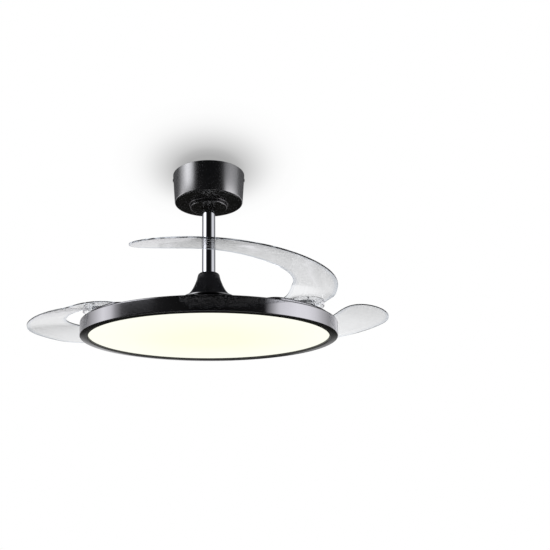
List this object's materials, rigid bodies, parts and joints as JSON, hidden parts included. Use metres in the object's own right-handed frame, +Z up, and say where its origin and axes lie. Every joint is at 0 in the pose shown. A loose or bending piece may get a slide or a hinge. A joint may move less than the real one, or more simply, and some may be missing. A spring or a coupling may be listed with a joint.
{
  "type": "retractable blade ceiling fan",
  "caption": "Ceiling fan with a lamp: clear curved blades fold over the round light disc and swing out as the motor turns, hung from a canopy on a short chrome rod.",
  "frame": {"origin": "on the fan's axis in the ceiling plane, at the middle of the bracket's flat top", "axes": "+Z up out of the bracket into the ceiling, -Y to the front as pictured, +X to the right as seen from the front; the fan hangs below z = 0"},
  "size_m": [0.7443, 0.7463, 0.35],
  "materials": {
    "satin_black_metal": "satin black powder coat",
    "satin_black_aluminium": "satin black paint",
    "chrome": "polished",
    "steel": "zinc plated",
    "copper": "enamelled copper wire",
    "bronze": "sintered",
    "magnet": "ferrite",
    "black_plastic": "matte",
    "white_plastic": "matte",
    "led_board_white": "white lacquer",
    "clear_plastic": "clear, polished",
    "opal_diffuser": "opal, lit from behind"
  },
  "bodies": {
    "fixed": {"ceiling_bracket": "steel", "canopy": "satin_black_metal", "canopy_trim": "satin_black_metal", "canopy_screw_1": "satin_black_metal", "canopy_screw_2": "satin_black_metal", "hanger_ball": "black_plastic", "hanger_pin": "steel", "downrod": "chrome", "receiver_box": "black_plastic", "terminal_block": "white_plastic", "coupling": "steel", "coupling_pin": "steel", "coupling_cover": "satin_black_metal", "motor_shaft": "steel", "stator_core": "steel", "winding_upper": "copper", "winding_lower": "copper", "lamp_flange": "steel", "lamp_pan": "satin_black_aluminium", "lamp_nut": "steel", "lamp_screw_1": "steel", "lamp_screw_2": "steel", "lamp_screw_3": "steel", "lamp_rim": "satin_black_aluminium", "led_board": "led_board_white", "led_driver": "white_plastic", "diffuser": "opal_diffuser"},
    "rotor": {"motor_top_shell": "satin_black_aluminium", "motor_bottom_shell": "satin_black_aluminium", "magnet_ring": "magnet", "upper_bearing": "steel", "lower_bearing": "steel", "blade_carrier": "satin_black_aluminium", "carrier_screw_1": "steel", "carrier_screw_2": "steel", "carrier_screw_3": "steel", "pivot_post_a": "steel", "pivot_screw_a": "steel", "thrust_washer_a": "white_plastic", "stop_pin_a": "black_plastic", "pivot_post_b": "steel", "pivot_screw_b": "steel", "thrust_washer_b": "white_plastic", "stop_pin_b": "black_plastic", "pivot_post_c": "steel", "pivot_screw_c": "steel", "thrust_washer_c": "white_plastic", "stop_pin_c": "black_plastic"},
    "swing_blade_a": {"blade_a": "clear_plastic", "bushing_a": "bronze", "return_spring_a": "steel"},
    "swing_blade_b": {"blade_b": "clear_plastic", "bushing_b": "bronze", "return_spring_b": "steel"},
    "swing_blade_c": {"blade_c": "clear_plastic", "bushing_c": "bronze", "return_spring_c": "steel"}
  },
  "joints": [
    {"name": "rotor_spin", "type": "hinge", "parent": "fixed", "child": "rotor", "pos_m": [0, 0, -0.2923], "axis": [0, 0, 1], "continuous": true},
    {"name": "blade_a_swing", "type": "hinge", "parent": "rotor", "child": "swing_blade_a", "pos_m": [0.17022, -0.1292, -0.3095], "axis": [0, 0, 1], "range_deg": [-56.5, 28.5]},
    {"name": "blade_b_swing", "type": "hinge", "parent": "rotor", "child": "swing_blade_b", "pos_m": [0.02678, 0.21202, -0.3095], "axis": [0, 0, 1], "range_deg": [-32, 53]},
    {"name": "blade_c_swing", "type": "hinge", "parent": "rotor", "child": "swing_blade_c", "pos_m": [-0.197, -0.08281, -0.3095], "axis": [0, 0, 1], "range_deg": [-51.5, 33.5]}
  ]
}
